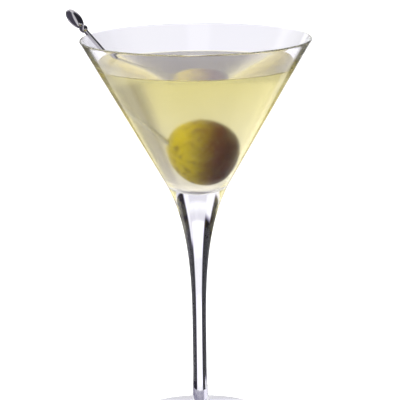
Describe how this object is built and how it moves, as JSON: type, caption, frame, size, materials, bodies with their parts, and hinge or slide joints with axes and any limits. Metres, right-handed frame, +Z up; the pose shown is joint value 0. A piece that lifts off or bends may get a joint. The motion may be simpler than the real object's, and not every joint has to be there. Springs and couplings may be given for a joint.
{
  "type": "martini cocktail",
  "caption": "Stemmed cone-shaped cocktail glass filled with a pale yellow drink, with a green olive speared on a polished metal pick that leans on the rim.",
  "frame": {"origin": "centre of the foot's flat underside, on the table", "axes": "+Z up the stem towards the rim; +X to the right and -Y to the front, so that the pick's head is at the left"},
  "size_m": [0.1107, 0.104, 0.1917],
  "materials": {
    "clear_glass": "clear polished soda-lime glass",
    "pale_drink": "slightly cloudy pale yellow liquid",
    "olive_skin": "smooth wet yellow-green skin, browner on one side",
    "polished_steel": "mirror-polished stainless steel"
  },
  "bodies": {
    "root": {"glass": "clear_glass", "drink": "pale_drink", "olive": "olive_skin", "pick": "polished_steel"}
  },
  "joints": []
}
